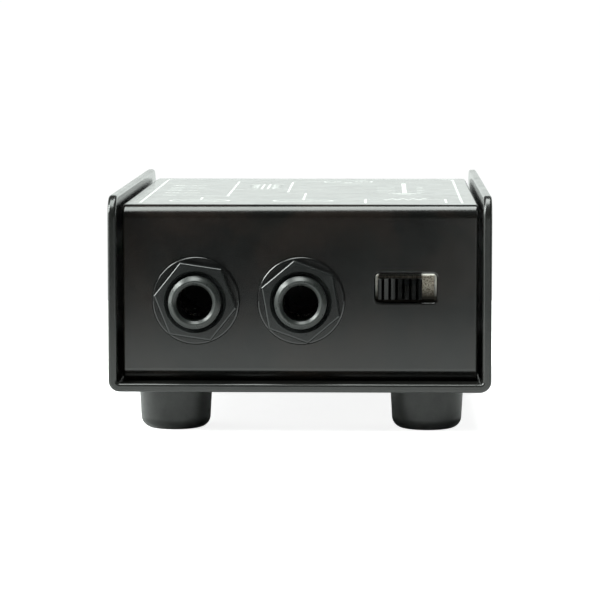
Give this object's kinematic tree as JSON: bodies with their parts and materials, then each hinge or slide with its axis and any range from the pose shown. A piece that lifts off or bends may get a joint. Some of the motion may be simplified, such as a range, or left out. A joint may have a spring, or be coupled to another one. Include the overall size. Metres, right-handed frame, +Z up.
{
  "type": "direct injection box",
  "caption": "Direct injection box in a folded black metal case: jack inputs and a slide switch in front, transformer inside, male XLR output behind, rubber feet below.",
  "frame": {"origin": "middle of the bounding box's bottom, on the plane the feet stand on", "axes": "+X to the right as seen from the jacks, +Y from the jacks to the XLR, +Z up; the jacks face -Y"},
  "size_m": [0.07, 0.102, 0.0437],
  "materials": {
    "tray_paint": "satin black powder coat",
    "cover_paint": "satin black powder coat",
    "foot_rubber": "matt black rubber",
    "steel_screw": "zinc plated steel",
    "clinch_steel": "zinc plated steel",
    "jack_plastic": "moulded black plastic",
    "jack_nut": "satin black",
    "jack_washer": "blackened steel",
    "contact_metal": "nickel plated brass",
    "switch_frame_metal": "nickel plated steel",
    "switch_knob_plastic": "moulded black plastic",
    "phenolic": "brown phenolic sheet",
    "board_laminate": "green solder resist",
    "resistor_lacquer": "lacquered",
    "capacitor_case": "moulded box",
    "tinned_wire": "tinned copper",
    "core_laminations": "nickel iron laminations",
    "bobbin_plastic": "moulded nylon",
    "winding_tape": "yellow polyester tape",
    "clamp_steel": "tin plated steel",
    "xlr_shell_metal": "black zinc die casting",
    "xlr_insert_plastic": "moulded black plastic",
    "xlr_pin_metal": "silver plated brass",
    "black_screw": "blackened steel",
    "wire_red": "pvc insulation",
    "wire_white": "pvc insulation",
    "wire_green": "pvc insulation"
  },
  "bodies": {
    "case": {"tray": "tray_paint", "cover": "cover_paint", "foot_front_left": "foot_rubber", "foot_front_right": "foot_rubber", "foot_rear_left": "foot_rubber", "foot_rear_right": "foot_rubber", "foot_screws": "steel_screw", "foot_washers": "steel_screw", "clinch_nuts": "clinch_steel", "switch_frame": "switch_frame_metal", "switch_base": "phenolic", "switch_terminals": "contact_metal", "circuit_board": "board_laminate", "resistor_bodies": "resistor_lacquer", "resistor_leads": "tinned_wire", "capacitor_body": "capacitor_case", "capacitor_leads": "tinned_wire", "transformer_e_core": "core_laminations", "transformer_i_core": "core_laminations", "transformer_bobbin": "bobbin_plastic", "transformer_winding": "winding_tape", "transformer_clamp": "clamp_steel", "transformer_pins": "tinned_wire", "xlr_shell": "xlr_shell_metal", "xlr_insert": "xlr_insert_plastic", "xlr_pins": "xlr_pin_metal", "xlr_screws": "black_screw", "xlr_nuts": "steel_screw", "wire_1": "wire_red", "wire_2": "wire_green", "wire_3": "wire_white", "jack_1_housing": "jack_plastic", "jack_1_nut": "jack_nut", "jack_1_washer": "jack_washer", "jack_1_sleeve_contact": "contact_metal", "jack_1_tip_terminal": "contact_metal", "jack_2_housing": "jack_plastic", "jack_2_nut": "jack_nut", "jack_2_washer": "jack_washer", "jack_2_sleeve_contact": "contact_metal", "jack_2_tip_terminal": "contact_metal"},
    "switch_slider": {"switch_knob": "switch_knob_plastic", "switch_wipers": "contact_metal"},
    "jack_1_tip": {"jack_1_tip_spring": "contact_metal"},
    "jack_2_tip": {"jack_2_tip_spring": "contact_metal"}
  },
  "joints": [
    {"name": "switch_slide", "type": "slide", "parent": "case", "child": "switch_slider", "axis": [1, 0, 0], "range_m": [0, 0.0022]},
    {"name": "jack_1_tip_flex", "type": "hinge", "parent": "case", "child": "jack_1_tip", "pos_m": [-0.0191, -0.0336, 0.0296], "axis": [1, 0, 0], "range_deg": [0, 6], "stiffness_Nm_per_rad": 0.4},
    {"name": "jack_2_tip_flex", "type": "hinge", "parent": "case", "child": "jack_2_tip", "pos_m": [0.0002, -0.0336, 0.0296], "axis": [1, 0, 0], "range_deg": [0, 6], "stiffness_Nm_per_rad": 0.4}
  ]
}
